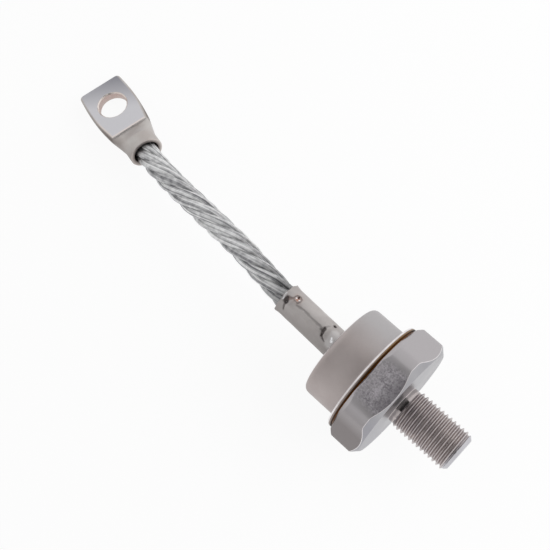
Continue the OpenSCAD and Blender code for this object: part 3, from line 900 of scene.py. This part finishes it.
# %% Sweep the wires
TONE_SEED = 7
HEART_SHARE, CORE_SHARE = 0.6, 0.85
reach = add(tree, "ShaderNodeVectorMath", {0: offset}, operation="LENGTH")
full = add(tree, "ShaderNodeMath", {0: given["Strand circle"], 1: given["Wire circle"]}, operation="ADD")
height = add(tree, "ShaderNodeMath", {0: reach, 1: full}, operation="DIVIDE")
tone = add(tree, "FunctionNodeRandomValue", {"ID": index, "Seed": TONE_SEED}, data_type="FLOAT")
marked = copies.outputs["Geometry"]
for name, value in (("crown", height), ("tone", tone)):
    marked = add(tree, "GeometryNodeStoreNamedAttribute", {"Geometry": marked, "Name": name, "Value": value},
                 data_type="FLOAT")
laid = add(tree, "GeometryNodeSetPosition", {"Geometry": marked, "Offset": offset})
cores = add(tree, "GeometryNodeDuplicateElements", {"Geometry": level, "Amount": given["Strands"]},
            domain="SPLINE")
core_place = strand_ring(cores.outputs["Duplicate Index"])
laid_cores = add(tree, "GeometryNodeSetPosition", {"Geometry": cores, "Offset": core_place})
heart = add(tree, "ShaderNodeMath", {0: given["Strand circle"], 1: HEART_SHARE}, operation="MULTIPLY")
core = add(tree, "ShaderNodeMath", {0: given["Wire circle"], 1: CORE_SHARE}, operation="MULTIPLY")
rope_parts = add(tree, "GeometryNodeJoinGeometry")
for curve, sides, radius in ((laid, 5, given["Wire radius"]), (laid_cores, 8, core), (level, 12, heart)):
    circle = add(tree, "GeometryNodeCurvePrimitiveCircle", {"Resolution": sides, "Radius": radius})
    swept = add(tree, "GeometryNodeCurveToMesh", {"Curve": curve, "Profile Curve": circle, "Fill Caps": True})
    fill(tree, rope_parts, {0: swept})
real = add(tree, "GeometryNodeRealizeInstances", {0: rope_parts})
finished = add(tree, "GeometryNodeSetMaterial", {"Geometry": real, "Material": given["Finish"]})
add(tree, "NodeGroupOutput", {0: finished})
print(tree.name, "nodes:", len(tree.nodes))

# %% [markdown]
# ## Laying the rope
# The route becomes a curve object for as long as the tree needs it. Eighteen wires a strand and lays of
# about 27 mm look like the photograph. A negative lay turns to the left.

# %% Lay the rope
path_data = bpy.data.curves.new("route", "CURVE")
path_data.dimensions = "3D"
spline = path_data.splines.new("BEZIER")
spline.bezier_points.add(len(route_points) - 1)
for bezier, point in zip(spline.bezier_points, route_points):
    bezier.co = point
    bezier.handle_left_type = bezier.handle_right_type = "AUTO"
path = new_object("route", path_data)
rope_sizes = {"Strand circle": 1.76, "Wire circle": 0.95, "Wire radius": 0.18, "Rope lay": -28,
              "Strand lay": 26}
values = {name: size * MM for name, size in rope_sizes.items()}
values.update({"Strands": 6, "Wires": 18, "Steps": 130, "Finish": tinned_strand})
rope_mesh = run_tree(path, tree, values)
bpy.data.objects.remove(path)
rope_mesh.shade_smooth()
rope = new_object("pigtail_rope", rope_mesh)
stand_for(rope, "pigtail_lead")

# %% [markdown]
# ## The lug
# The lug is a length of copper tube: its barrel stays round, the rest is pressed flat and punched. One loft
# does it. Its cross-section is a rounded rectangle whose sizes change along the lug, from a circle at the
# mouth to the flat tongue. The flat stands a little above the end of the taper.

# %% Sizes of the lug
BARREL_R, BARREL_BORE_R, BARREL_DEPTH = 4.15, 3.15, 4
BARREL_END, TAPER_END, TONGUE_END = -0.8, 4, 20.3
TONGUE_HALF_W, TONGUE_BOW, TIP_DRAW, TIP_R = 6.05, 0.7, 0.45, 0.5
TONGUE_HALF_T, STEP, STEP_LEN = 1.2, 0.27, 0.3
SIDE_R, SIDE_EXTRA_R, SIDE_R_LEN = 0.5, 0.7, 8
HOLE_AT, HOLE_R = 13, 3.55
lug_yaw, lug_dip, lug_twist = (math.radians(angle) for angle in (-10.261, 12.530, 11))
lug_frame = (Matrix.Translation(route_points[-1]) @ Matrix.Rotation(lug_yaw, 4, "Z")
             @ Matrix.Rotation(lug_dip, 4, "Y") @ Matrix.Rotation(lug_twist, 4, "X"))


def section(share, half_w, half_t, corner):
    """The point at a share of the way round a rounded rectangle, from the top's middle."""
    flat, side, bend = half_w - corner, half_t - corner, corner * TURN / 4
    half_way = 0.5 - abs(share % 1 - 0.5)
    way = (0.25 - abs(half_way - 0.25)) * 4 * (flat + bend + side)
    if way < flat:
        y, z = way, half_t
    elif way < flat + bend:
        turn = (way - flat) / corner
        y, z = flat + corner * math.sin(turn), side + corner * math.cos(turn)
    else:
        y, z = half_w, side - (way - flat - bend)
    return (y if share % 1 < 0.5 else -y), (z if half_way < 0.25 else -z)


def tongue_half_width(x):
    """Half the tongue's width, which bows out at the hole and is rounded at the tip."""
    drawn, reach = (TONGUE_BOW, HOLE_AT - TAPER_END) if x < HOLE_AT else (TIP_DRAW, TONGUE_END - HOLE_AT)
    half_w = TONGUE_HALF_W - drawn * min(1, abs(x - HOLE_AT) / reach) ** 2
    over = max(0, x - (TONGUE_END - TIP_R))
    return half_w - TIP_R + math.sqrt(max(0, TIP_R ** 2 - over ** 2))


print("tongue in mm:", 2 * TONGUE_HALF_W, "wide,", TONGUE_END - TAPER_END, "long")

# %% [markdown]
# ## Points of the lug
# Every point of the skin also knows how it looks: pressed flat by the die, worn on an edge with a painted
# highlight, or darkened. The darkening is grime on the sides, where nothing wipes it off, and painted shade
# on the sides and in the bore.

# %% Points of the lug
MOUTH_BREAK = 0.12
HIGHLIGHT_IN, HIGHLIGHT_WIDTH, SIDE_WEAR_HIGHLIGHT, MOUTH_WEAR_HIGHLIGHT = 0.1, 0.2, 0.8, 0.4
SIDE_HIGHLIGHT_END, SIDE_HIGHLIGHT_FADE = 14, 6
PRESS_FADE, GRIME_SHADE_FADE, GRIME_SHADE_LEN = 0.3, 0.6, 3
MOUTH_HIGHLIGHT_R, MOUTH_FADE = 3.6, 0.4
LUG_BORE_SHADE_R, BORE_FADE = 3.2, 0.7
SHOULDER_SHARE = 0.6


def highlight_line(distance):
    """How strong a worn edge's painted highlight is at a distance from the line that it follows."""
    return math.exp(-((distance - HIGHLIGHT_IN) / HIGHLIGHT_WIDTH) ** 2)


def lug_point(x, share):
    """A point on the lug's skin at a distance along it, and how pressed, highlighted and dark it is there."""
    t = max(0, min(1, (x - BARREL_END) / (TAPER_END - BARREL_END)))
    rise = ease((x - TAPER_END) / STEP_LEN)
    half_w, half_t = tongue_half_width(x), TONGUE_HALF_T - STEP * (1 - rise)
    shoulder = min(half_t, SIDE_R + SIDE_EXTRA_R * (1 - ease((x - TAPER_END) / SIDE_R_LEN)))
    round_y, round_z = section(share, BARREL_R, BARREL_R, BARREL_R)
    flat_y, flat_z = section(share, half_w, half_t, shoulder)
    y, z = round_y + (flat_y - round_y) * t, round_z + (flat_z - round_z) * t
    inside = half_w - SHOULDER_SHARE * shoulder - abs(y)
    on_flat = ease(inside / PRESS_FADE)
    # Painted highlights, with some wear: a line along the step and a band along the +Y side.
    at_step = highlight_line(x - TAPER_END - STEP_LEN) * on_flat
    at_side = SIDE_WEAR_HIGHLIGHT * highlight_line(inside) * rise * ease((SIDE_HIGHLIGHT_END - x) / SIDE_HIGHLIGHT_FADE) * ease(y)
    # Grime and painted shade darken the rounded sides beyond the flat.
    grime_and_shade = ease(-inside / GRIME_SHADE_FADE) * ease((x - BARREL_END) / GRIME_SHADE_LEN)
    return Vector((x, y, z)) * MM, rise * on_flat, max(at_step, at_side), grime_and_shade


def bore_point(x, r, share):
    """A point in the bore, in painted shade, or on the mouth, whose rim is a little worn and highlighted."""
    y, z = section(share, 1, 1, 1)
    rubbed_and_highlit = MOUTH_WEAR_HIGHLIGHT * ease((r - MOUTH_HIGHLIGHT_R) / MOUTH_FADE)
    return Vector((x, r * y, r * z)) * MM, 0, rubbed_and_highlit, 1 - ease((r - LUG_BORE_SHADE_R) / BORE_FADE)


bore = [(0, 0), (0, BARREL_BORE_R), (-BARREL_DEPTH + MOUTH_BREAK, BARREL_BORE_R),
        (-BARREL_DEPTH, BARREL_BORE_R + MOUTH_BREAK), (-BARREL_DEPTH, BARREL_R - MOUTH_BREAK)]
# Stations stand close together where the shape changes fast: in the taper, at the step and at the tip.
stations = [BARREL_END - 3.1, BARREL_END - 1.6] + [BARREL_END + 0.3 * i for i in range(16)]
stations += [TAPER_END + STEP_LEN * i / 6 for i in range(7)] + [TAPER_END + 0.5 + 0.25 * i for i in range(60)]
stations += [TONGUE_END - TIP_R * (1 - math.sin(TURN / 4 * i / 8)) for i in range(9)]
stations.sort()
print("stations along the lug:", len(stations))

# %% [markdown]
# ## The lug's finish
# The lug is tinned copper. The die has burnished the flat, which is darker towards the far corner of the
# tip, and the shear that cut the hole has left only a thin coat on its wall.

# %% Finish of the lug
# Warm satin grey on the barrel, a cool and clear grey on the flat, with painted highlights as pale lines
# along its edges.
tinned_copper = satin_plate("tin on pressed copper", "#c6c2bf", "#b9b2ae", 0.4, 4, 0.35, 0.015)
# Painted shade: the lug is darker towards +Y, the side away from the lamp.
tint(tinned_copper, "#88817e", "Y", -3, 0)
# Places on the line between +X and -Y, which runs to the far corner of the tip.
TIPWARD_DARK_FROM, TIPWARD_DARK_TO = 107, 122
tree = tinned_copper.node_tree
place = add(tree, "ShaderNodeTexCoord").outputs["Object"]
tip_ward = add(tree, "ShaderNodeVectorMath", {0: place, 1: (1, -1, 0)}, operation="DOT_PRODUCT")
tipward_dark = add(tree, "ShaderNodeMapRange", {"Value": tip_ward, "From Min": TIPWARD_DARK_FROM * MM,
                                           "From Max": TIPWARD_DARK_TO * MM})
flat_tin = add(tree, "ShaderNodeMix", {0: tipward_dark, 6: linear("#d2d1d5"), 7: linear("#84848c")},
               data_type="RGBA")
# The pressed flat's tin, a pale painted highlight on worn edges, and dark grey for grime and painted shade.
LUG_LOOKS = {"pressed": flat_tin, "rubbed_and_highlit": linear("#efe4dd"), "grime_and_shade": linear("#776e6a")}
for look, colour in LUG_LOOKS.items():
    blend(tinned_copper, add(tree, "ShaderNodeAttribute", attribute_name=look).outputs["Fac"], colour)
# The hole's wall is pinkish, because copper shows through.
bare_copper = satin_plate("thin tin on sheared copper", "#c2b5b0", "#baa59f", 0.4, 2, 0.3, 0.02)
# A thin pale ring round the hole, where the burr was taken off; its pale colour is a painted highlight.
worn_and_highlit_tin = satin_plate("rubbed tin", "#f2e9e3", "#e6dad3", 0.3, 2, 0.3, 0.01)
lug_finishes = (tinned_copper, bare_copper, worn_and_highlit_tin)
print("finishes of the lug:", [finish.name for finish in lug_finishes])

# %% [markdown]
# ## Building and punching the lug
# A boolean cuts the hole, as a punch would. The cutter widens above and below the tongue, so that it also
# breaks the hole's edges, and its faces bring their own finishes along.

# %% Loft the lug
LUG_COLUMNS = 192
TIP_GRIME_AND_SHADE = 0.5
bm = bmesh.new()
layers = [bm.verts.layers.float.new(look) for look in LUG_LOOKS]
grid = []
for i in range(LUG_COLUMNS):
    share = i / LUG_COLUMNS
    points = [bore_point(x, r, share) for x, r in bore] + [lug_point(x, share) for x in stations]
    points.append((Vector((TONGUE_END, 0, 0)) * MM, 0, 0, TIP_GRIME_AND_SHADE))
    grid.append([bm.verts.new(point) for point, *looks in points])
    for vert, (point, *looks) in zip(grid[-1], points):
        for layer, look in zip(layers, looks):
            vert[layer] = look
skin(bm, grid + grid[:1])
bm.transform(lug_frame)
lug = new_piece("tube_lug", bm, *lug_finishes)
print("lug faces before the punch:", len(lug.data.polygons))

# %% Punch the hole
HOLE_COLUMNS = 96
HOLE_BREAK, PUNCH_REACH, PUNCH_FLARE = 0.25, 6, 4.6
WALL_TILT = 0.1
half = [(PUNCH_REACH, 0), (PUNCH_REACH, HOLE_R + PUNCH_FLARE), (TONGUE_HALF_T, HOLE_R + HOLE_BREAK),
        (TONGUE_HALF_T - HOLE_BREAK, HOLE_R)]
profile = [(-z, r) for z, r in half] + half[::-1]
cutter_bm = bmesh.new()
grid = []
for i in range(HOLE_COLUMNS):
    a = TURN * i / HOLE_COLUMNS
    grid.append([cutter_bm.verts.new(Vector((HOLE_AT + r * math.cos(a), r * math.sin(a), z)) * MM)
                 for z, r in profile])
skin(cutter_bm, grid + grid[:1])
cutter_bm.transform(lug_frame)
cutter = new_piece("punch", cutter_bm, *lug_finishes)
straight = lug_frame.to_3x3() @ Vector((0, 0, 1))
for face in cutter.data.polygons:
    on_wall = abs(face.normal.dot(straight)) < WALL_TILT
    face.material_index = lug_finishes.index(bare_copper if on_wall else worn_and_highlit_tin)
punch = lug.modifiers.new("punch", "BOOLEAN")
punch.object, punch.operation, punch.solver = cutter, "DIFFERENCE", "EXACT"
lug.data = plain_mesh(lug, punch)
bpy.data.objects.remove(cutter)
lug.data.shade_smooth()
lug.data.set_sharp_from_angle(angle=SHARP)
stand_for(lug, "terminal_lug")

# %% [markdown]
# ## Pieces inside the case
# They can't be seen unless the case is opened. Each keeps its solid's shape and gets a plain finish,
# with a faint grain so that it doesn't look like plastic.

# %% Inner finishes
def plain_finish(name, code, metallic, roughness, speck_mm):
    """A finish with a faint grain."""
    material, tree, shader, place = new_finish(name, metallic)
    grain = add(tree, "ShaderNodeTexNoise", {"Vector": place, "Scale": per_mm(speck_mm), "Detail": 3})
    light = add(tree, "ShaderNodeMapRange", {"Value": grain, "To Min": 0.85, "To Max": 1.1})
    colour = add(tree, "ShaderNodeVectorMath", {0: linear(code)[:3], "Scale": light}, operation="SCALE")
    fill(tree, shader, {"Base Color": colour, "Roughness": roughness})
    return material


solders = ["base_solder", "lower_die_solder", "upper_die_solder", "button_solder"]
inner_finishes = {
    # Glossy and dark, as fired glass is.
    plain_finish("sealing glass", "#5b5f5c", 0, 0.15, 0.8): ["glass_seal"],
    # A soft grey shine, as solder has when it sets.
    plain_finish("soft solder", "#a7a8ab", 1, 0.35, 0.5): solders,
    # Grey and finely ground.
    plain_finish("ground molybdenum", "#8d8d92", 1, 0.3, 0.2): ["lower_disc", "upper_disc"],
    # A dark blue-grey mirror.
    plain_finish("lapped silicon", "#4b4e57", 1, 0.12, 2): ["silicon_die"],
    # Milky and smooth, because it was poured.
    plain_finish("junction silicone", "#d9d5cc", 0, 0.35, 1): ["junction_coating"],
    # Orange and clean, because the case keeps air out.
    plain_finish("bright copper", "#c98a63", 1, 0.3, 0.6): ["contact_button", "inner_lead"],
}
for finish, names in inner_finishes.items():
    for name in names:
        nodes[name].material_slots[0].material = finish
print("inner pieces:", sum(len(names) for names in inner_finishes.values()))

# %% [markdown]
# ## Floor
# The floor is white to the camera and in reflections, through a Light Path node, and it keeps the part's
# soft shadow: a small share of what is seen is still lit paper.

# %% Floor
FLOOR_HALF = 1.5
WHITE_SHARE = 0.92
floor_bm = bmesh.new()
bmesh.ops.create_grid(floor_bm, x_segments=1, y_segments=1, size=FLOOR_HALF)
floor = new_object("floor", bpy.data.meshes.new("floor"))
floor_bm.to_mesh(floor.data)
floor_bm.free()
floor.location.z = cad_low.z
white = bpy.data.materials.new("white sweep")
white.use_nodes = True
tree = white.node_tree
tree.nodes.clear()
rays = add(tree, "ShaderNodeLightPath").outputs
seen = rays["Is Camera Ray"]
for kind in ("Is Transmission Ray", "Is Glossy Ray"):
    seen = add(tree, "ShaderNodeMath", {0: seen, 1: rays[kind]}, operation="MAXIMUM")
share = add(tree, "ShaderNodeMath", {0: seen, 1: WHITE_SHARE}, operation="MULTIPLY")
paper = add(tree, "ShaderNodeBsdfDiffuse", {"Color": linear("#dadada")})
glow = add(tree, "ShaderNodeEmission", {"Strength": 1})
both = add(tree, "ShaderNodeMixShader", {0: share, 1: paper, 2: glow})
add(tree, "ShaderNodeOutputMaterial", {0: both})
floor.data.materials.append(white)
print("floor at z in mm:", round(floor.location.z / MM, 2))

# %% [markdown]
# ## Room and light
# The room is an even white, a little darker on the left of the picture. One large soft lamp gives the faint
# shadow. A camera this close is itself mirrored by bright metal, so a dark oval card hangs just above the
# lens, unseen by the camera: it darkens the stud, the flat and the middle of the cap as in the photograph.

# %% Room and card
ROOM = [(0, "#f6f6f6"), (0.6, "#f2f2f2"), (1, "#ececec")]
RIGHT_LIGHT, LEFT_LIGHT = 1.05, 0.8
CARD_HALF_X, CARD_HALF_Y, CARD_ABOVE = 64, 210, 5
world = bpy.data.worlds.new("studio")
bpy.context.scene.world = world
world.use_nodes = True
tree = world.node_tree
tree.nodes.clear()
way = add(tree, "ShaderNodeSeparateXYZ", {0: add(tree, "ShaderNodeTexCoord").outputs["Generated"]}).outputs
room = add(tree, "ShaderNodeValToRGB", {0: way["Z"]})
ramp = room.color_ramp.elements
ramp.new(ROOM[1][0])
for element, (height, code) in zip(ramp, ROOM):
    element.position = height
    element.color = linear(code)
side = add(tree, "ShaderNodeMapRange", {"Value": way["Y"], "From Min": -1, "To Min": RIGHT_LIGHT,
                                        "To Max": LEFT_LIGHT})
sky = add(tree, "ShaderNodeBackground", {"Color": room, "Strength": side})
add(tree, "ShaderNodeOutputWorld", {0: sky})

card_bm = bmesh.new()
bmesh.ops.create_circle(card_bm, cap_ends=True, segments=48, radius=MM,
                        matrix=Matrix.Diagonal((CARD_HALF_X, CARD_HALF_Y, 1, 1)))
card = new_object("camera_front", bpy.data.meshes.new("camera_front"))
card_bm.to_mesh(card.data)
card_bm.free()
card.location = camera_place + Vector((0, 0, CARD_ABOVE)) * MM
card.visible_camera = False
# Matt black, so that it only takes light away.
card.data.materials.append(plain_finish("black camera", "#080808", 0, 0.6, 20))

print("card in mm:", 2 * CARD_HALF_X, "by", 2 * CARD_HALF_Y)

# %% Lamp
lamp_aim = Vector((0.03, 0, 0))
lamp_data = bpy.data.lights.new("soft_box", "AREA")
lamp_data.size = 0.6
lamp_data.energy = 4.5
lamp = new_object("soft_box", lamp_data)
lamp.location = (-0.3, -0.4, 0.35)
lamp.rotation_euler = (lamp_aim - lamp.location).to_track_quat("-Z", "Y").to_euler()
lamp.visible_glossy = False
bpy.context.scene.view_settings.view_transform = "Standard"
print("lamp in watts:", lamp_data.energy)
